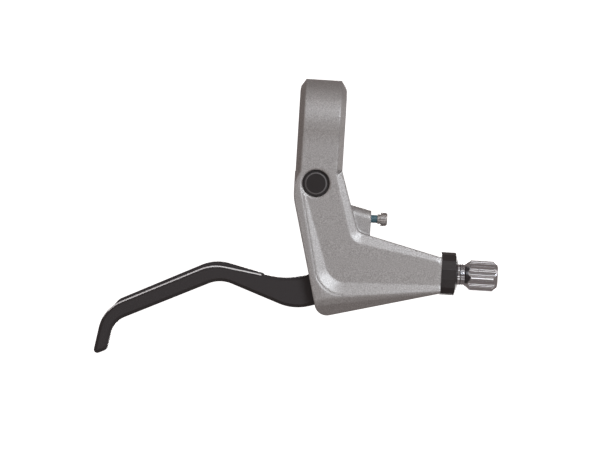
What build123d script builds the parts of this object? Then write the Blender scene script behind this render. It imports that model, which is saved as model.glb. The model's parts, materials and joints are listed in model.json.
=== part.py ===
from build123d import *
import math
import os

# Bicycle brake lever. The origin is the centre of the handlebar clamp. X runs along the bar
# towards the cable adjuster, Z is up towards the bar, and the front face looks along -Y.
# All sizes are in millimetres.

# Handlebar clamp
bar_radius = 11.1
clamp_wall = 5.25
clamp_width = 18.7
clamp_edge_width = 2.15
clamp_edge_drop = 3.2
clamp_slit = 1.5
ear_width = 14.0
ear_height = 9.0
bolt_seat_drop = 8.5

# Clamp bolt
bolt_radius = 3.0
bolt_length = 16.0
bolt_head_radius = 5.0
bolt_head_height = 6.0
bolt_socket = 5.0
bolt_bar_wall = 1.3

# Lever mechanism: where the pivot and the cable line lie, from the bar's middle
pivot_drop = 25.8
pivot_offset = 0.9
cable_drop = 58.8
lever_plane = -3.0

# Bracket body
face_setback = 2.0
rear_face = 7.5
neck_blend = 20.0
neck_rear_angle = 40.0
nose_reach = 51.25
nose_above = 6.45
nose_below = 7.85
nose_thread_length = 13.0
shoulder_rise = 5.9
shoulder_drop = 2.7
lip_width = 3.4
lip_drop = 0.3
rear_edge = 2.0
nose_taper_start = 13.0
nose_front_taper = 1.25
nose_rear_taper = 3.4
panel_tilt = 2.0
panel_start = 6.0
panel_wall_angle = 72.5
panel_floor_below = 5.95
panel_round = 8.0
bevel_angle = 70.0
bevel_depth = 2.0
runout_angle = 20.0
crease_width = 0.6
body_floor = 3.0

# Lever: reaches are to the left of the bar's middle, drops are below the cable line
blade_width = 11.2
blade_lower_bevel = 1.3
blade_upper_bevel = 0.4
root_reach = 10.7
root_drop = 6.0
root_depth = 14.0
knee_reach = 40.5
knee_drop = 1.65
knee_depth = 6.4
hook_reach = 83.1
hook_drop = 22.2
hook_depth = 6.3
tip_beyond = 3.1
tip_length = 18.9
tip_depth = 5.7
rib_width = 6.0
rib_rise = 2.0
rib_edge = 0.6
hub_radius = 7.6
arm_stop = 5.05
side_clearance = 0.4
hub_clearance = 0.9

# Cable end pocket in the lever
pocket_x = 3.75
pocket_radius = 3.6
pocket_depth = 9.0
cable_slot = 2.2

# Axle, bushes, washer and clip
axle_radius = 3.0
axle_head_radius = 5.2
axle_head_height = 1.8
axle_head_recess = 0.45
axle_rim = 0.55
axle_rim_angle = 70.0
axle_disc_radius = 4.4
axle_disc_rise = 0.5
axle_tail = 1.1
bush_wall = 1.3
bush_length = 4.5
bush_flange_radius = 6.0
bush_flange = 1.0
washer_radius = 5.5
washer_thickness = 0.8
clip_thickness = 0.7
clip_radius = 4.8
clip_groove = 0.6

# Reach screw and its boss
reach_share = 0.385
reach_radius = 1.6
reach_collar_radius = 1.95
reach_head_radius = 2.7
reach_head_length = 3.9
reach_head_x = 24.7
reach_socket = 2.5
boss_end_x = 22.05
boss_radius = 3.9

# Barrel adjuster and lock ring
thread_radius = 4.2
lock_length = 6.75
lock_radius = 8.7
lock_facets = 14
thread_gap = 2.8
barrel_radius = 6.1
barrel_length = 13.4
barrel_cone = 2.6
barrel_round = 1.7
barrel_flutes = 8
housing_radius = 3.05
housing_depth = 9.0
cable_hole_radius = 1.4

# Clearances
running_fit = 0.05
thread_fit = 0.06
bolt_fit = 0.3
seat_gap = 0.05
stop_gap = 0.3

# Levels that several pieces share
clamp_radius = bar_radius + clamp_wall
band_half = clamp_width / 2 - clamp_edge_width
front_y = face_setback - clamp_radius
rear_y = rear_face
pivot_x = -pivot_offset
pivot_z = -pivot_drop
cable_z = -cable_drop
arm_length = cable_drop - pivot_drop
reach_z = pivot_z - reach_share * arm_length
inner_corner_z = cable_z + 0.446 * arm_length
blade_half = blade_width / 2
channel_half = blade_half + side_clearance
bolt_y = bar_radius + bolt_radius + bolt_bar_wall
ear_back = bolt_y + bolt_head_radius + bolt_fit
body_top_z = pivot_z + 4.5
body_floor_z = cable_z - 20.6
shoulder_z = pivot_z + shoulder_rise
panel_top_z = pivot_z + panel_start
panel_lean = math.radians(panel_tilt)
nose_x = nose_reach
far = 60.0


def outline(corners):
    """A closed side-view face. Each corner is x, z and its rounding radius."""
    points = [(x, z) for x, z, _ in corners]
    radii = [radius for _, _, radius in corners]
    return make_face(FilletPolyline(*points, radius=radii, close=True))


def side_slab(face, y_low, y_high):
    """A side-view face given thickness between two depths."""
    return extrude(Plane.XZ.offset(-y_high) * face, amount=y_high - y_low)


def rod_x(radius, x_low, x_high, y, z):
    return Pos((x_low + x_high) / 2, y, z) * Rot(0, 90, 0) * Cylinder(radius, x_high - x_low)


def rod_y(radius, y_low, y_high, x, z):
    return Pos(x, (y_low + y_high) / 2, z) * Rot(90, 0, 0) * Cylinder(radius, y_high - y_low)


def rod_z(radius, z_low, z_high, x, y):
    return Pos(x, y, (z_low + z_high) / 2) * Cylinder(radius, z_high - z_low)


def block(x_low, x_high, y_low, y_high, z_low, z_high):
    centre = Pos((x_low + x_high) / 2, (y_low + y_high) / 2, (z_low + z_high) / 2)
    return centre * Box(x_high - x_low, y_high - y_low, z_high - z_low)


def turned_x(profile, y, z):
    """A turned piece: a profile of axial place and radius, spun about a line along X."""
    face = make_face(Polyline(*profile, close=True))
    return Pos(0, y, z) * revolve(face, axis=Axis.X)


def turned_y(profile, x, z):
    """A turned piece whose profile is radius and depth, spun about a line along Y."""
    face = make_face(Polyline(*profile, close=True))
    return Pos(x, 0, z) * revolve(face, axis=Axis.Y)


def panel_y(z):
    """The depth of the leaning front plane at a height. The neck and the panel both lie on it."""
    return front_y + (panel_top_z - z) * math.tan(panel_lean)


def clamp_and_neck():
    """The clamp ring and the neck under it share one section, with a bevel along both edges."""
    neck_end_z = pivot_z - 2.2
    neck_rear_y = rear_y - 1
    rear = math.radians(neck_rear_angle)
    rear_joint = (clamp_radius * math.cos(rear), -clamp_radius * math.sin(rear))

    # The hollow blend touches the ring and the leaning plane, so its centre follows from both.
    outward = Vector(-math.cos(panel_lean), -math.sin(panel_lean))
    down = Vector(math.sin(panel_lean), -math.cos(panel_lean))
    plane_distance = Vector(front_y, panel_top_z).dot(outward)
    slide = math.sqrt((clamp_radius + neck_blend) ** 2 - (plane_distance + neck_blend) ** 2)
    blend_centre = outward * (plane_distance + neck_blend) + down * slide
    blend_low = outward * plane_distance + down * slide
    blend_high = blend_centre * (clamp_radius / (clamp_radius + neck_blend))
    towards = ((blend_low + blend_high) * 0.5 - blend_centre).normalized()
    blend_middle = blend_centre + towards * neck_blend

    section = make_face(
        [
            Line((panel_y(neck_end_z), neck_end_z), blend_low),
            ThreePointArc(blend_low, blend_middle, blend_high),
            ThreePointArc(blend_high, (0, clamp_radius), rear_joint),
            Polyline(rear_joint, (neck_rear_y, body_top_z), (neck_rear_y, neck_end_z)),
            Line((neck_rear_y, neck_end_z), (panel_y(neck_end_z), neck_end_z)),
        ]
    )
    band = extrude(Plane.YZ.offset(-band_half) * section, amount=2 * band_half)
    edge_taper = math.degrees(math.atan2(clamp_edge_drop, clamp_edge_width))
    edge = extrude(Plane.YZ.offset(band_half) * section, amount=clamp_edge_width, taper=edge_taper)
    return band + edge + mirror(edge, about=Plane.YZ)


def clamp_ears():
    """The two ears of the clamp, behind the bar, as one block before the slit parts them."""
    inner_y = clamp_radius / 4
    ear = outline(
        [
            (inner_y, -bolt_seat_drop, 0),
            (inner_y, clamp_radius - 1, 0),
            (bolt_y - 1, ear_height, 5),
            (ear_back, ear_height, 3),
            (ear_back, -bolt_seat_drop, 3),
        ]
    )
    return extrude(Plane.YZ.offset(-ear_width / 2) * ear, amount=ear_width)


def body_outline():
    """The side view of the body: a leg down from the neck and a nose out to the adjuster."""
    neck = clamp_width / 2
    return outline(
        [
            (-neck - 0.2, body_top_z, 0),
            (-neck - 0.2, pivot_z - 6.0, 20),
            (2.85, body_floor_z, 5),
            (nose_x, cable_z - nose_below, 0),
            (nose_x, cable_z + nose_above, 0),
            (17.0, inner_corner_z, 4),
            (neck - 0.2, shoulder_z, 0),
            (band_half, shoulder_z - shoulder_drop, 0),
        ]
    )


def panel_plane():
    """The leaning front plane, with its origin where it leaves the front of the lip."""
    return Plane(
        origin=(0, front_y, panel_top_z),
        x_dir=(1, 0, 0),
        z_dir=(0, -math.cos(panel_lean), -math.sin(panel_lean)),
    )


def sunk_panel():
    """What is cut away in front of the panel. Its left and lower walls slope up to the lip."""
    top = 5.0
    floor = cable_z - panel_floor_below - panel_top_z
    left_top_x = -10.1
    left_low_x = 7.1
    far_x = nose_x + far
    panel = outline(
        [
            (left_top_x, top, 0),
            (left_low_x, floor, panel_round),
            (far_x, floor + 2.9, 0),
            (far_x, top, 0),
        ]
    )
    return extrude(panel_plane() * panel, amount=5.0, taper=-panel_wall_angle)


def outer_bevel():
    """What is cut away along the right and upper edges of the panel to leave a sloping bevel."""
    right_x = nose_x - 0.4
    kept = outline(
        [
            (band_half, far, 0),
            (band_half, shoulder_z - shoulder_drop - panel_top_z, 0),
            (14.8, inner_corner_z - 4.1 - panel_top_z, 6),
            (right_x, cable_z + 4.7 - panel_top_z, 2.5),
            (right_x, -2 * far, 0),
            (-far, -2 * far, 0),
            (-far, far, 0),
        ]
    )
    layer = extrude(panel_plane() * Rectangle(6 * far, 6 * far), amount=-bevel_depth)
    return layer - extrude(panel_plane() * kept, amount=-bevel_depth, taper=-bevel_angle)


def edge_runout():
    """What is cut off the top of the lip, so that the neck's left bevel runs out into its round."""
    across = Vector(-clamp_edge_drop, -clamp_edge_width, 0).normalized()
    lean = Vector(0, 0, math.tan(math.radians(runout_angle)))
    start = Vector(-band_half, panel_y(body_top_z), body_top_z)
    plane = Plane(origin=start, x_dir=(0, 0, 1), z_dir=across + lean)
    return extrude(plane * Rectangle(30, 12), amount=4)


def nose_taper_cut():
    """Both faces of the nose draw in towards the adjuster."""
    end_x = nose_x + 5
    cut = Part()
    for face_y, inward, angle in ((front_y, 1, nose_front_taper), (rear_y, -1, nose_rear_taper)):
        drop = (end_x - nose_taper_start) * math.tan(math.radians(angle))
        wedge = make_face(
            Polyline(
                (nose_taper_start, face_y),
                (end_x, face_y + inward * drop),
                (end_x, face_y - inward * drop),
                (nose_taper_start, face_y - inward * drop),
                close=True,
            )
        )
        cut += extrude(Pos(0, 0, -2 * far) * wedge, amount=2 * far)
    return cut


def lip_undersides():
    """What is cut off under the crest of the lower lip: three slopes, each steeper, that round it down."""
    end_depth = (nose_x - nose_taper_start) * math.tan(math.radians(nose_front_taper))
    start = Vector(nose_taper_start, front_y, cable_z - 10.7)
    end = Vector(nose_x, front_y + end_depth, cable_z - 6.6)
    cuts = []
    for angle, step in ((14, 1.2), (29, 2.4), (42, 0)):
        slope = math.radians(angle)
        downhill = Vector(0, math.sin(slope), -math.cos(slope))
        plane = Plane(origin=start, x_dir=end - start, z_dir=downhill.cross(end - start))
        cuts.append(extrude(plane * Rectangle(4 * far, 2 * far), amount=far / 2))
        start += downhill * step
        end += downhill * (step / 4)
    return cuts


def lip_crease():
    """The fine crease between the lip and the panel's sloping wall."""
    bend = panel_round + lip_width
    path = FilletPolyline(
        (-6.2, pivot_z - 3.2),
        (3.0, cable_z - 10.95),
        (3.0 + 0.85 * bend, cable_z - 10.85),
        radius=bend,
    )
    placed = Plane.XZ.offset(-front_y) * path
    vee = Rot(0, 0, 45) * Rectangle(crease_width, crease_width)
    return sweep(Plane(placed @ 0, z_dir=placed % 0) * vee, path=placed)


def body_shell():
    """The outside of the body, solid, with its sloping lip, sunk panel and bevels."""
    body = side_slab(body_outline(), front_y, rear_y)
    front = body.faces().sort_by(Axis.Y)[0]

    def on_lip(edge):
        middle = edge.center()
        return middle.Z < cable_z - nose_below or (middle.X < -band_half / 2 and middle.Z < body_top_z)

    lip = [edge for edge in front.edges() if on_lip(edge)]
    body = chamfer(lip, lip_width, lip_drop, reference=front)
    rear_edges = body.edges().filter_by_position(Axis.Y, rear_y, rear_y)
    body = chamfer([edge for edge in rear_edges if edge.center().Z < body_top_z - 1], rear_edge)
    for cut in lip_undersides():
        body -= cut
    return body - nose_taper_cut() - sunk_panel() - outer_bevel() - edge_runout()


def reach_boss():
    """The boss for the reach screw stands on the nose, with a rounded top that slopes with it."""
    base_x = arm_stop + side_clearance + 4
    top_z = reach_z + boss_radius
    boss = outline(
        [
            (base_x, reach_z - boss_radius, 0),
            (base_x, top_z + 2.2, 0),
            (boss_end_x, top_z - 0.7, 0),
            (boss_end_x, inner_corner_z - 3.5, 0),
            (base_x + 7, inner_corner_z - 3.5, 0),
        ]
    )
    slab = side_slab(boss, lever_plane - boss_radius, lever_plane + boss_radius)
    along_top = [
        edge
        for edge in slab.edges()
        if edge.center().Z > reach_z + 1 and abs(edge.tangent_at(0.5).X) > 0.9
    ]
    return fillet(along_top, boss_radius - 0.3)


def lever_channel():
    """The space inside the body: a pocket for the hub and arm, open to the left, and a cable way."""
    hub_space = hub_radius + hub_clearance
    wall_x = arm_stop + stop_gap + 2.0
    cavity_end_x = nose_x - nose_thread_length
    profile = outline(
        [
            (-far, pivot_z + hub_space, 0),
            (pivot_x, pivot_z + hub_space, 0),
            (wall_x, pivot_z - 1, 3),
            (wall_x, inner_corner_z - 1.3, 3),
            (12.55, inner_corner_z - 6.7, 4),
            (cavity_end_x, cable_z + 5.0, 2),
            (cavity_end_x, cable_z - 6.0, 2),
            (7.55, body_floor_z + body_floor + 1.2, 3),
            (-far, body_floor_z + body_floor + 1.2, 0),
        ]
    )
    hub_well = Pos(pivot_x, pivot_z) * Circle(hub_space)
    return side_slab(profile + hub_well, lever_plane - channel_half, lever_plane + channel_half)


def axle_holes():
    """The bore for the axle and a counterbore for its head, with a bevel round the rim."""
    head_y, neck_y, _, _ = axle_levels()
    sink = axle_head_radius + 0.25
    holes = rod_y(sink, head_y - 4, neck_y + seat_gap, pivot_x, pivot_z)
    holes += rod_y(axle_radius + running_fit, neck_y, rear_y + 1, pivot_x, pivot_z)
    rim_plane = Plane(
        origin=(pivot_x, panel_y(pivot_z), pivot_z),
        x_dir=(1, 0, 0),
        z_dir=panel_plane().z_dir,
    )
    rim_depth = axle_rim / math.tan(math.radians(axle_rim_angle))
    rim = Cone(sink - axle_rim, sink + 3 * axle_rim, 4 * rim_depth)
    return holes + rim_plane * rim


def clamp_cuts():
    """The bar bore, the slit behind it and the bolt's two holes and seat."""
    cuts = rod_x(bar_radius, -clamp_width, clamp_width, 0, 0)
    cuts += block(-clamp_width, clamp_width, 0, ear_back + 5, -clamp_slit / 2, clamp_slit / 2)
    cuts += rod_z(bolt_radius + thread_fit, 0, 2 * ear_height, 0, bolt_y)
    cuts += rod_z(bolt_radius + bolt_fit, -bolt_seat_drop - 1, 0, 0, bolt_y)
    cuts += rod_z(bolt_head_radius + bolt_fit, -bolt_seat_drop - 2 * bolt_head_height, -bolt_seat_drop, 0, bolt_y)
    return cuts


def cable_cuts():
    """The adjuster's threaded hole and the slot that lets a cable be lifted in from below."""
    slot_low_y = lever_plane - cable_slot / 2
    slot_high_y = lever_plane + cable_slot / 2
    hole = rod_x(thread_radius + thread_fit, nose_x - nose_thread_length - 2, nose_x + 2, lever_plane, cable_z)
    slot = block(10.55, nose_x + 2, slot_low_y, slot_high_y, cable_z - 3 * far / 2, cable_z)
    screw_hole = rod_x(reach_radius + thread_fit, 0, boss_end_x + 1, lever_plane, reach_z)
    return hole + slot + screw_hole


def bracket():
    """The cast bracket: clamp, neck, hollow body, reach screw boss and threaded nose in one piece."""
    casting = clamp_and_neck() + clamp_ears() + body_shell() + reach_boss()
    return casting - lever_channel() - lip_crease() - axle_holes() - clamp_cuts() - cable_cuts()


def socket_cut(across_flats, depth):
    """A hexagon socket that opens towards +Z at the origin."""
    hexagon = RegularPolygon(across_flats / 2, 6, major_radius=False)
    return extrude(Pos(0, 0, -depth) * hexagon, amount=depth)


def clamp_bolt():
    """The clamp bolt goes up through the lower ear into the thread of the upper one."""
    head_edge = 0.6
    top = bolt_head_height
    profile = [
        (0, -bolt_length),
        (bolt_radius, -bolt_length),
        (bolt_radius, 0),
        (bolt_head_radius, 0),
        (bolt_head_radius, top - head_edge),
        (bolt_head_radius - head_edge, top),
        (0, top),
    ]
    bolt = revolve(Plane.XZ * make_face(Polyline(*profile, close=True)), axis=Axis.Z)
    bolt -= Pos(0, 0, top) * socket_cut(bolt_socket, bolt_head_height / 2)
    return Pos(0, bolt_y, -bolt_seat_drop - seat_gap) * Rot(180, 0, 0) * bolt


def lever_outline():
    """The side view of the lever: arm, root and the finger blade with its hooked tip."""
    root_z = cable_z - root_drop
    knee_z = cable_z - knee_drop
    hook_z = cable_z - hook_drop
    tip_x = -hook_reach - tip_beyond
    tip_z = hook_z - tip_length
    return outline(
        [
            (pivot_x - 0.9 * hub_radius, pivot_z - 1.5, 0),
            (pivot_x + 0.2, cable_z - 0.58 * root_drop, 2),
            (-root_reach, root_z, 2.8 * root_reach),
            (-knee_reach, knee_z, 17),
            (-hook_reach, hook_z, 15),
            (tip_x, tip_z, 1.4),
            (tip_x + tip_depth, tip_z + 0.45 * tip_depth, 0.45 * tip_depth),
            (0.73 * hook_depth - hook_reach, hook_z - 0.78 * hook_depth, 9),
            (0.56 * knee_depth - knee_reach, knee_z - 0.91 * knee_depth, 12),
            (-0.64 * root_reach, root_z - 0.86 * root_depth, 1.4 * root_depth),
            (arm_stop + 1, root_z - 0.59 * root_depth, 0),
            (arm_stop + 4, cable_z - 3, 0),
            (arm_stop, pivot_z - 0.6 * arm_length, 0),
            (arm_stop, pivot_z - 1.5, 0),
        ]
    )


def blade_rib():
    """A stiffening rib stands along the back of the blade and runs out before both ends."""
    knee_z = cable_z - knee_drop
    hook_z = cable_z - hook_drop
    rib = outline(
        [
            (-root_reach - 8.9, cable_z - 0.7 * root_drop, 0),
            (1.1 - knee_reach, knee_z + rib_rise, 17),
            (6.2 - hook_reach, hook_z + 2.1 * rib_rise, 5),
            (3.2 - hook_reach, hook_z + 0.15 * rib_rise, 0),
            (7.1 - hook_reach, hook_z - 0.25 * rib_rise, 0),
            (-knee_reach, knee_z - 1.6 * rib_rise, 14),
            (-root_reach - 6.6, cable_z - 1.25 * root_drop, 0),
        ]
    )
    slab = side_slab(rib, lever_plane - rib_width / 2, lever_plane + rib_width / 2)
    crest = [
        edge
        for face in slab.faces()
        if abs(face.normal_at().Y) < 0.1 and face.normal_at().Z > 0.5
        for edge in face.edges()
        if abs(edge.tangent_at(0.5).Y) < 0.1
    ]
    return chamfer(crest, rib_edge)


def rim_edges(lever, upper):
    """The long edges on the bar's side of the lever, or on the side that the fingers pull."""
    found = []
    for face in lever.faces():
        normal = face.normal_at()
        if abs(normal.Y) > 0.1 or (normal.Z > normal.X) != upper:
            continue
        for edge in face.edges():
            middle = edge.center()
            if abs(edge.tangent_at(0.5).Y) < 0.1 and middle.X < 0 and middle.Z < pivot_z - 2.5:
                found.append(edge)
    return found


def lever_blade():
    """The forged lever: broad bevels for the fingers, fine ones above, with hub and cable pocket."""
    low_y = lever_plane - blade_half
    high_y = lever_plane + blade_half
    lever = side_slab(lever_outline(), low_y, high_y)
    lever = chamfer(rim_edges(lever, upper=False), blade_lower_bevel)
    lever = chamfer(rim_edges(lever, upper=True), blade_upper_bevel)
    lever += blade_rib()
    lever += rod_y(hub_radius, low_y, high_y, pivot_x, pivot_z)
    lever -= rod_y(axle_radius + running_fit + bush_wall + thread_fit, low_y - 1, high_y + 1, pivot_x, pivot_z)
    seat_depth = bush_flange - side_clearance / 2
    seat = bush_flange_radius + 0.2
    lever -= rod_y(seat, low_y - 1, low_y + seat_depth, pivot_x, pivot_z)
    lever -= rod_y(seat, high_y - seat_depth, high_y + 1, pivot_x, pivot_z)
    lever -= rod_y(pocket_radius, high_y - pocket_depth, high_y + 1, pocket_x, cable_z)
    lever -= block(
        pocket_x,
        pocket_x + 3 * pocket_radius,
        lever_plane - cable_slot / 2,
        high_y + 1,
        cable_z - cable_slot / 2,
        cable_z + cable_slot / 2,
    )
    return lever


def bush(side):
    """A flanged bush, pushed into the hub from one side. Its flange runs on the channel wall."""
    bore = axle_radius + running_fit
    outer = bore + bush_wall
    flange_y = blade_half + side_clearance / 2
    profile = [
        (bore, flange_y),
        (bush_flange_radius, flange_y),
        (bush_flange_radius, flange_y - bush_flange + 0.02),
        (outer, flange_y - bush_flange + 0.02),
        (outer, flange_y - bush_flange - bush_length),
        (bore, flange_y - bush_flange - bush_length),
    ]
    return turned_y([(radius, lever_plane + side * depth) for radius, depth in profile], pivot_x, pivot_z)


def axle_levels():
    """Depths along the axle: head face, under the head, washer face, groove and tail."""
    head_y = panel_y(pivot_z) + axle_head_recess
    groove_y = rear_y + seat_gap + washer_thickness + seat_gap
    tail_y = groove_y + clip_thickness + seat_gap + axle_tail
    return head_y, head_y + axle_head_height, groove_y, tail_y


def lever_axle():
    """The pivot pin. Its head is a low disc with a bevelled edge, inside a plain rim."""
    head_y, neck_y, groove_y, tail_y = axle_levels()
    groove_end_y = groove_y + clip_thickness + seat_gap
    profile = [
        (0, head_y),
        (axle_disc_radius - axle_disc_rise, head_y),
        (axle_disc_radius, head_y + axle_disc_rise),
        (axle_head_radius, head_y + axle_disc_rise),
        (axle_head_radius, neck_y),
        (axle_radius, neck_y),
        (axle_radius, groove_y),
        (axle_radius - clip_groove, groove_y),
        (axle_radius - clip_groove, groove_end_y),
        (axle_radius, groove_end_y),
        (axle_radius, tail_y),
        (0, tail_y),
    ]
    return turned_y(profile, pivot_x, pivot_z)


def axle_washer():
    low_y = rear_y + seat_gap
    ring = rod_y(washer_radius, low_y, low_y + washer_thickness, pivot_x, pivot_z)
    return ring - rod_y(axle_radius + 2 * running_fit, low_y - 1, low_y + washer_thickness + 1, pivot_x, pivot_z)


def axle_clip():
    """An open spring clip with three prongs that grip the axle's groove."""
    _, _, groove_y, _ = axle_levels()
    low_y = groove_y + seat_gap / 2
    grip = axle_radius - clip_groove + running_fit
    mouth = 0.8 * axle_radius
    plate = Circle(clip_radius) - Circle(axle_radius + 0.7)
    prong = Rectangle(2.4, clip_radius - grip)
    for angle in (0, 90, 180):
        plate += Rot(0, 0, angle) * Pos(0, grip + (clip_radius - grip) / 2 - 0.2) * prong
    plate &= Circle(clip_radius)
    plate -= Circle(grip)
    plate -= Pos(0, -clip_radius) * Rectangle(2 * mouth, 2 * clip_radius - 1.4)
    clip = extrude(plate, amount=clip_thickness)
    return Pos(pivot_x, low_y + clip_thickness, pivot_z) * Rot(90, 0, 0) * clip


def reach_screw():
    """The screw that stops the lever's arm. Turned in, it brings the blade closer to the bar."""
    tip_x = arm_stop + stop_gap
    head_end_x = reach_head_x + reach_head_length
    collar_end_x = reach_head_x + 0.3 * reach_head_length
    edge = 0.4
    screw = turned_x(
        [
            (tip_x, 0),
            (tip_x, reach_radius),
            (reach_head_x, reach_radius),
            (reach_head_x, reach_collar_radius),
            (collar_end_x, reach_collar_radius),
            (collar_end_x, reach_head_radius),
            (head_end_x - edge, reach_head_radius),
            (head_end_x, reach_head_radius - edge),
            (head_end_x, 0),
        ],
        lever_plane,
        reach_z,
    )
    socket = Rot(0, 90, 0) * socket_cut(reach_socket, reach_head_length / 2)
    return screw - Pos(head_end_x, lever_plane, reach_z) * socket


def adjuster_slot(x_low, x_high, reach):
    """The slot along the underside that lets a cable in."""
    return block(
        x_low - 1,
        x_high + 1,
        lever_plane - cable_slot / 2,
        lever_plane + cable_slot / 2,
        cable_z - reach - 1,
        cable_z,
    )


def lock_ring():
    """The faceted ring that is turned by hand against the nose to lock the barrel."""
    low_x = nose_x + seat_gap
    high_x = low_x + lock_length
    bore = thread_radius + thread_fit
    blank = turned_x(
        [
            (low_x, bore),
            (high_x, bore),
            (high_x, lock_radius - 2.6),
            (high_x - 1.0, lock_radius),
            (low_x, lock_radius),
        ],
        lever_plane,
        cable_z,
    )
    facets = extrude(RegularPolygon(lock_radius, lock_facets), amount=lock_length)
    facets = Pos(low_x, lever_plane, cable_z) * Rot(0, 90, 0) * facets
    return (blank & facets) - adjuster_slot(low_x, high_x, lock_radius)


def barrel_adjuster():
    """The threaded barrel. Its fluted head takes the cable housing and turns by hand."""
    low_x = nose_x - nose_thread_length + 0.5
    head_x = nose_x + lock_length + thread_gap
    end_x = head_x + barrel_length
    socket_x = end_x - housing_depth
    round_x = end_x - barrel_round
    barrel = turned_x(
        [
            (low_x, cable_hole_radius),
            (low_x, thread_radius),
            (head_x, thread_radius),
            (head_x + barrel_cone, barrel_radius),
            (round_x, barrel_radius),
            (end_x, barrel_radius - 0.8 * barrel_round),
            (end_x, housing_radius),
            (socket_x, housing_radius),
            (socket_x, cable_hole_radius),
        ],
        lever_plane,
        cable_z,
    )
    flute_radius = 2.4
    flute_centre = barrel_radius + flute_radius - 0.75
    for index in range(barrel_flutes):
        angle = math.radians((index - 0.25) * 360 / barrel_flutes)
        y = lever_plane - flute_centre * math.cos(angle)
        z = cable_z - flute_centre * math.sin(angle)
        barrel -= rod_x(flute_radius, head_x - 1, end_x + 1, y, z)
    return barrel - adjuster_slot(low_x, end_x, barrel_radius)


pieces = {
    "bracket": bracket(),
    "clamp_bolt": clamp_bolt(),
    "lever_blade": lever_blade(),
    "front_bush": bush(-1),
    "rear_bush": bush(1),
    "lever_axle": lever_axle(),
    "axle_washer": axle_washer(),
    "axle_clip": axle_clip(),
    "reach_screw": reach_screw(),
    "lock_ring": lock_ring(),
    "barrel_adjuster": barrel_adjuster(),
}

os.makedirs("parts", exist_ok=True)
for name, piece in pieces.items():
    export_step(piece, f"parts/{name}.step")
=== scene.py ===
import json
import math

import bmesh
import bpy
from mathutils import Matrix, Vector


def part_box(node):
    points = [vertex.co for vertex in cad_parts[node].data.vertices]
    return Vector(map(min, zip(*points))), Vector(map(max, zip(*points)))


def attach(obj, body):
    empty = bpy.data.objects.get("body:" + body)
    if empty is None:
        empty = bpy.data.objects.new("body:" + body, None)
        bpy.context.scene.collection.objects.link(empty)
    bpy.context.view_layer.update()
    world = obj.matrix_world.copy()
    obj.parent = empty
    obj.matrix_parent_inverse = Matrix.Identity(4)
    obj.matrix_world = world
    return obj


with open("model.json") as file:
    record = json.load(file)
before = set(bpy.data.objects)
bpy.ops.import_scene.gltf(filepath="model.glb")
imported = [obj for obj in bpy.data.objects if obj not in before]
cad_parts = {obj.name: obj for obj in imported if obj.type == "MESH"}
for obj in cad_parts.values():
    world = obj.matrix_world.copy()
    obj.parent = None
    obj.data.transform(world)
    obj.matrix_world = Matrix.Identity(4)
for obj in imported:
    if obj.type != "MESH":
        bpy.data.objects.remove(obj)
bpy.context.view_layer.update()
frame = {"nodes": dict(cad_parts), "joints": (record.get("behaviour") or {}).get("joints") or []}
nodes = frame["nodes"]


# The bracket: one aluminium casting with the handlebar clamp, the hollow body and the threaded nose.
# It is sprayed in silver metallic paint, a warm mid grey with fine metal flakes under a satin clear coat.
# The paint rounds the casting's edges off, so that they catch the light as soft lines.
flake_scale = 2600.0
flake_detail = 2.0
dark_paint = (0.35, 0.33, 0.32, 1.0)
light_paint = (0.56, 0.54, 0.53, 1.0)
casting_edge = 0.0012
grain_depth = 0.0002


def new_finish(name):
    finish = bpy.data.materials.new(name)
    finish.use_nodes = True
    return finish, finish.node_tree, finish.node_tree.nodes["Principled BSDF"]


def softened_edges(tree, radius):
    edges = tree.nodes.new("ShaderNodeBevel")
    edges.samples = 8
    edges.inputs["Radius"].default_value = radius
    return edges.outputs["Normal"]


def give_finish(piece, finish):
    nodes[piece].data.materials.clear()
    nodes[piece].data.materials.append(finish)


paint, tree, shader = new_finish("silver_paint")
coords = tree.nodes.new("ShaderNodeTexCoord")
flakes = tree.nodes.new("ShaderNodeTexNoise")
flakes.inputs["Scale"].default_value = flake_scale
flakes.inputs["Detail"].default_value = flake_detail
tone = tree.nodes.new("ShaderNodeValToRGB")
tone.color_ramp.elements[0].position = 0.34
tone.color_ramp.elements[0].color = dark_paint
tone.color_ramp.elements[1].position = 0.68
tone.color_ramp.elements[1].color = light_paint
rounded = softened_edges(tree, casting_edge)
grain = tree.nodes.new("ShaderNodeBump")
grain.inputs["Strength"].default_value = 0.05
grain.inputs["Distance"].default_value = grain_depth
tree.links.new(coords.outputs["Object"], flakes.inputs["Vector"])
tree.links.new(flakes.outputs["Fac"], tone.inputs["Fac"])
tree.links.new(tone.outputs["Color"], shader.inputs["Base Color"])
tree.links.new(flakes.outputs["Fac"], grain.inputs["Height"])
tree.links.new(rounded, grain.inputs["Normal"])
tree.links.new(grain.outputs["Normal"], shader.inputs["Normal"])
tree.links.new(rounded, shader.inputs["Coat Normal"])
shader.inputs["Metallic"].default_value = 0.7
shader.inputs["Roughness"].default_value = 0.55
shader.inputs["Coat Weight"].default_value = 0.8
shader.inputs["Coat Roughness"].default_value = 0.24
give_finish("bracket", paint)


# The lever blade: a forged aluminium lever, anodised black with a satin sheen.
# A painted highlight: the crest of its upper front bevel is painted as a fine bright line, from the hook up
# to the rib's end.
# The painted highlight is found by its place on the blade and by how the bevel leans forward and up.
line_end_x = -0.0205
line_front_y = -0.0078
line_back_y = -0.0065
forward_lean = -0.25
upward_lean = 0.45
blade_black = (0.047, 0.041, 0.042, 1.0)
# Painted highlight: a near white colour that stands in for light catching the bevel's crest.
painted_highlight_line = (0.95, 0.93, 0.93, 1.0)


def place_on_piece(tree):
    coords = tree.nodes.new("ShaderNodeTexCoord")
    place = tree.nodes.new("ShaderNodeSeparateXYZ")
    tree.links.new(coords.outputs["Object"], place.inputs["Vector"])
    return place.outputs


def reckon(tree, operation, *terms):
    step = tree.nodes.new("ShaderNodeMath")
    step.operation = operation
    for socket, term in zip(step.inputs, terms):
        if isinstance(term, bpy.types.NodeSocket):
            tree.links.new(term, socket)
        else:
            socket.default_value = term
    return step.outputs["Value"]


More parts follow.
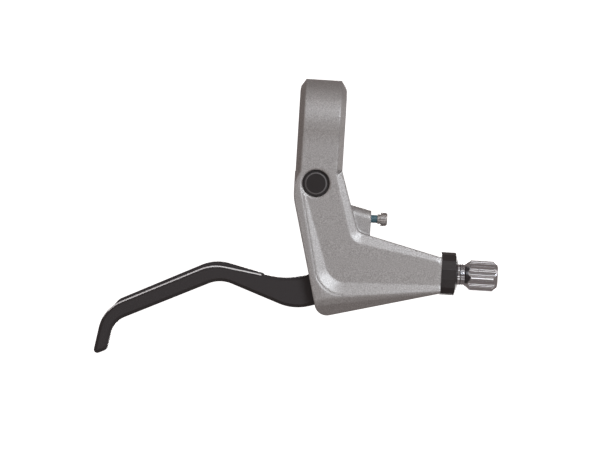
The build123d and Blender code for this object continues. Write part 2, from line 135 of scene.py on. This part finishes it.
def two_tone(tree, on_mark, ground_colour, mark_colour):
    colour = tree.nodes.new("ShaderNodeMix")
    colour.data_type = "RGBA"
    colour.inputs["A"].default_value = ground_colour
    colour.inputs["B"].default_value = mark_colour
    tree.links.new(on_mark, colour.inputs["Factor"])
    return colour.outputs["Result"]


anodised, tree, shader = new_finish("black_alloy")
place = place_on_piece(tree)
surface = tree.nodes.new("ShaderNodeNewGeometry")
facing = tree.nodes.new("ShaderNodeVectorTransform")
facing.vector_type = "NORMAL"
facing.convert_from = "WORLD"
facing.convert_to = "OBJECT"
lean = tree.nodes.new("ShaderNodeSeparateXYZ")
tree.links.new(surface.outputs["True Normal"], facing.inputs["Vector"])
tree.links.new(facing.outputs["Vector"], lean.inputs["Vector"])
on_line = reckon(tree, "LESS_THAN", place["X"], line_end_x)
for value, operation, limit in (
    (place["Y"], "GREATER_THAN", line_front_y),
    (place["Y"], "LESS_THAN", line_back_y),
    (lean.outputs["Y"], "LESS_THAN", forward_lean),
    (lean.outputs["Z"], "GREATER_THAN", upward_lean),
):
    on_line = reckon(tree, "MULTIPLY", on_line, reckon(tree, operation, value, limit))
# The painted highlight line is mixed into the black base colour here.
tree.links.new(two_tone(tree, on_line, blade_black, painted_highlight_line), shader.inputs["Base Color"])
shader.inputs["Roughness"].default_value = 0.42
shader.inputs["Specular IOR Level"].default_value = 0.25
give_finish("lever_blade", anodised)


# The pivot pin: turned steel with a smooth black finish, its head down in a counterbore of the bracket.
# The bevel round the head's disc carries a painted highlight, a lighter grey ring found by its lean of 45
# degrees.
bevel_lean = math.radians(45.0)
lean_margin = 0.1
smooth_black = (0.020, 0.016, 0.016, 1.0)
painted_bevel_highlight = (0.20, 0.19, 0.19, 1.0)
pin_black, tree, shader = new_finish("pin_black")
coords = tree.nodes.new("ShaderNodeTexCoord")
lean = tree.nodes.new("ShaderNodeSeparateXYZ")
tree.links.new(coords.outputs["Normal"], lean.inputs["Vector"])
on_bevel = reckon(tree, "COMPARE", lean.outputs["Y"], -math.cos(bevel_lean), lean_margin)
# The painted highlight ring on the bevel is mixed into the black base colour here.
tree.links.new(two_tone(tree, on_bevel, smooth_black, painted_bevel_highlight), shader.inputs["Base Color"])
shader.inputs["Roughness"].default_value = 0.34
give_finish("lever_axle", pin_black)


# The lock ring: turned from aluminium, with flats round it for the fingers, and anodised black.
# It screws along the barrel's thread until it is tight against the nose, and its corners are broken smooth.
ring_edge = 0.0003
ring_black, tree, shader = new_finish("ring_black")
tree.links.new(softened_edges(tree, ring_edge), shader.inputs["Normal"])
shader.inputs["Base Color"].default_value = (0.030, 0.024, 0.024, 1.0)
shader.inputs["Roughness"].default_value = 0.34
give_finish("lock_ring", ring_black)


# The clamp bolt, and the washer and the clip on the rear end of the pivot pin: plain steel, left bright.
# The bolt draws the clamp's ears together, and the clip sits in the pin's groove and keeps the washer on.
steel, tree, shader = new_finish("bare_steel")
shader.inputs["Base Color"].default_value = (0.50, 0.49, 0.49, 1.0)
shader.inputs["Metallic"].default_value = 1.0
shader.inputs["Roughness"].default_value = 0.3
for fastener in ("clamp_bolt", "axle_washer", "axle_clip"):
    give_finish(fastener, steel)


# The reach screw: a plated steel socket screw, screwed through the boss to set where the lever rests.
# A patch of blue locking compound covers its shank up to the collar, and fine rings stand for its thread.
patch_end_x = 0.0247
reach_pitch = 0.0005
reach_ring_depth = 0.0001
plated_steel = (0.55, 0.53, 0.52, 1.0)
locking_blue = (0.09, 0.18, 0.22, 1.0)


def thread_rings(tree, along, on_thread, pitch, depth, strength):
    turns = reckon(tree, "MULTIPLY", along, 2.0 * math.pi / pitch)
    ridges = reckon(tree, "MULTIPLY", reckon(tree, "SINE", turns), on_thread)
    rings = tree.nodes.new("ShaderNodeBump")
    rings.inputs["Strength"].default_value = strength
    rings.inputs["Distance"].default_value = depth
    tree.links.new(ridges, rings.inputs["Height"])
    return rings


plated, tree, shader = new_finish("reach_steel")
place = place_on_piece(tree)
on_shank = reckon(tree, "LESS_THAN", place["X"], patch_end_x)
rings = thread_rings(tree, place["X"], on_shank, reach_pitch, reach_ring_depth, strength=0.5)
tree.links.new(rings.outputs["Normal"], shader.inputs["Normal"])
tree.links.new(two_tone(tree, on_shank, plated_steel, locking_blue), shader.inputs["Base Color"])
tree.links.new(reckon(tree, "SUBTRACT", 1.0, on_shank), shader.inputs["Metallic"])
shader.inputs["Roughness"].default_value = 0.28
give_finish("reach_screw", plated)


# The two bushes: flanged sleeves moulded in pale plastic.
# They sit in the lever's hub, one from the front and one from the rear, and turn on the pivot pin.
pale_plastic, tree, shader = new_finish("bush_plastic")
shader.inputs["Base Color"].default_value = (0.70, 0.69, 0.65, 1.0)
shader.inputs["Roughness"].default_value = 0.6
for bush in ("front_bush", "rear_bush"):
    give_finish(bush, pale_plastic)


# The barrel adjuster: a turned and fluted aluminium barrel, polished bright, with its corners broken smooth.
# Between the lock ring and the head its thread is a ridge rolled round the shank, broken by the cable slot.
# On the shank that the ring and the nose cover until the barrel is screwed out, rings stand for the thread.
barrel_edge = 0.0003
barrel_pitch = 0.001
barrel_ring_depth = 0.00015
rings_past_lock = 0.00015
lock_end_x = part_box("lock_ring")[1].x
covered_end_x = lock_end_x + rings_past_lock
bright, tree, shader = new_finish("bright_alloy")
place = place_on_piece(tree)
on_shank = reckon(tree, "LESS_THAN", place["X"], covered_end_x)
rings = thread_rings(tree, place["X"], on_shank, barrel_pitch, barrel_ring_depth, strength=0.6)
tree.links.new(softened_edges(tree, barrel_edge), rings.inputs["Normal"])
tree.links.new(rings.outputs["Normal"], shader.inputs["Normal"])
shader.inputs["Base Color"].default_value = (0.75, 0.755, 0.785, 1.0)
shader.inputs["Metallic"].default_value = 1.0
shader.inputs["Roughness"].default_value = 0.13
give_finish("barrel_adjuster", bright)

barrel_turn = next(joint for joint in frame["joints"] if joint["name"] == "barrel_turn")
axis_y, axis_z = barrel_turn["pos_m"][1:]
root_radius = 0.00415
crest_radius = 0.0046
ridge_half = 0.0004
ridge_gap = 0.0002
turn_count = 2
slot_half_angle = math.radians(18.0)
sweep_angle = 2.0 * math.pi - 2.0 * slot_half_angle
sweep_advance = barrel_pitch * sweep_angle / (2.0 * math.pi)
sweep_steps = 60
thread_mesh = bpy.data.meshes.new("barrel_thread")
bm = bmesh.new()
for turn in range(turn_count):
    crest_x = lock_end_x + ridge_gap + ridge_half + barrel_pitch * turn
    profile = []
    for offset, radius in ((-ridge_half, root_radius), (0.0, crest_radius), (ridge_half, root_radius)):
        y = axis_y + radius * math.sin(slot_half_angle)
        z = axis_z - radius * math.cos(slot_half_angle)
        profile.append(bm.verts.new((crest_x + offset, y, z)))
    first_end = bm.faces.new(profile)
    swept = bmesh.ops.spin(
        bm,
        geom=first_end.edges[:] + profile,
        cent=(0.0, axis_y, axis_z),
        axis=(1.0, 0.0, 0.0),
        dvec=(sweep_advance / sweep_steps, 0.0, 0.0),
        angle=sweep_angle,
        steps=sweep_steps,
    )
    bm.faces.new([item for item in swept["geom_last"] if isinstance(item, bmesh.types.BMVert)])
bmesh.ops.recalc_face_normals(bm, faces=bm.faces[:])
bm.to_mesh(thread_mesh)
bm.free()
thread = bpy.data.objects.new("barrel_thread", thread_mesh)
bpy.context.scene.collection.objects.link(thread)
thread.data.materials.append(bright)
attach(thread, "barrel_body")


# The backdrop: a plain white dome all round the part, floor and walls in one, evenly lit.
# Only the camera sees it, so it throws no glare on the part's rims and stops none of the room's light.
dome_radius = 4.0
dome_mesh = bpy.data.meshes.new("backdrop")
bm = bmesh.new()
bmesh.ops.create_uvsphere(bm, u_segments=32, v_segments=16, radius=dome_radius)
bm.to_mesh(dome_mesh)
bm.free()
dome = bpy.data.objects.new("backdrop", dome_mesh)
bpy.context.scene.collection.objects.link(dome)
dome.visible_diffuse = False
dome.visible_glossy = False
dome.visible_shadow = False
white, tree, shader = new_finish("backdrop_white")
shader.inputs["Base Color"].default_value = (0.9, 0.9, 0.9, 1.0)
shader.inputs["Emission Color"].default_value = (1.0, 1.0, 1.0, 1.0)
shader.inputs["Emission Strength"].default_value = 1.0
dome.data.materials.append(white)


# The light: a cool key box in front on the upper right, a weak box at each side and two boxes behind.
# Four narrow strips above and below draw bright lines in the polish, and a warm, dim room fills the shadows.
aim = Vector((-0.006, -0.005, -0.042))
key_size = (0.45, 0.45)
box_size = (0.6, 0.6)
strip_size = (0.8, 0.06)
cool_white = (0.89, 0.945, 1.0)
soft_white = (1.0, 0.98, 0.97)
warm_white = (1.0, 0.96, 0.94)
plain_white = (1.0, 1.0, 1.0)
room_warmth = (1.0, 0.86, 0.82, 1.0)
room_strength = 0.2
for name, azimuth, elevation, distance, size, power, colour in (
    ("key", 28.0, 22.0, 1.1, key_size, 6.1, cool_white),
    ("side", 105.0, 8.0, 0.9, box_size, 0.7, soft_white),
    ("left", -50.0, 15.0, 0.9, box_size, 0.7, warm_white),
    ("rear_right", 165.0, -5.0, 1.1, box_size, 5.0, soft_white),
    ("rear_left", 190.0, -5.0, 1.1, box_size, 6.0, soft_white),
    ("top_strip", 0.0, 80.0, 0.9, strip_size, 0.2, plain_white),
    ("upper_strip", 0.0, 50.0, 0.9, strip_size, 0.4, plain_white),
    ("lower_strip", 0.0, -20.0, 0.9, strip_size, 0.4, plain_white),
    ("bottom_strip", 0.0, -48.0, 0.9, strip_size, 0.4, plain_white),
):
    round_z = math.radians(azimuth)
    above = math.radians(elevation)
    level = math.cos(above)
    towards = Vector((math.sin(round_z) * level, -math.cos(round_z) * level, math.sin(above)))
    light = bpy.data.lights.new(name, "AREA")
    light.shape = "RECTANGLE"
    light.size, light.size_y = size
    light.energy = power
    light.color = colour
    lamp = bpy.data.objects.new(name, light)
    lamp.location = aim + towards * distance
    lamp.rotation_euler = (-towards).to_track_quat("-Z", "Y").to_euler()
    bpy.context.scene.collection.objects.link(lamp)
world = bpy.data.worlds.new("room")
bpy.context.scene.world = world
world.use_nodes = True
room = world.node_tree.nodes["Background"]
room.inputs["Color"].default_value = room_warmth
room.inputs["Strength"].default_value = room_strength


# The camera: a long lens about a metre in front of the part, square to its front face.
# It is turned a little about its own axis, so that the clamp leans to the right in the picture.
camera_place = (-0.00625, -1.010, -0.04275)
roll = math.radians(3.5)
camera_data = bpy.data.cameras.new("camera")
camera_data.lens = 150.0
camera_data.sensor_width = 36.0
camera = bpy.data.objects.new("camera", camera_data)
bpy.context.scene.collection.objects.link(camera)
bpy.context.scene.camera = camera
right = Vector((math.cos(roll), 0.0, math.sin(roll)))
up = Vector((-math.sin(roll), 0.0, math.cos(roll)))
back = right.cross(up)
turned = Matrix((right, up, back)).transposed().to_4x4()
camera.matrix_world = Matrix.Translation(camera_place) @ turned
bpy.context.scene.view_settings.view_transform = "Standard"
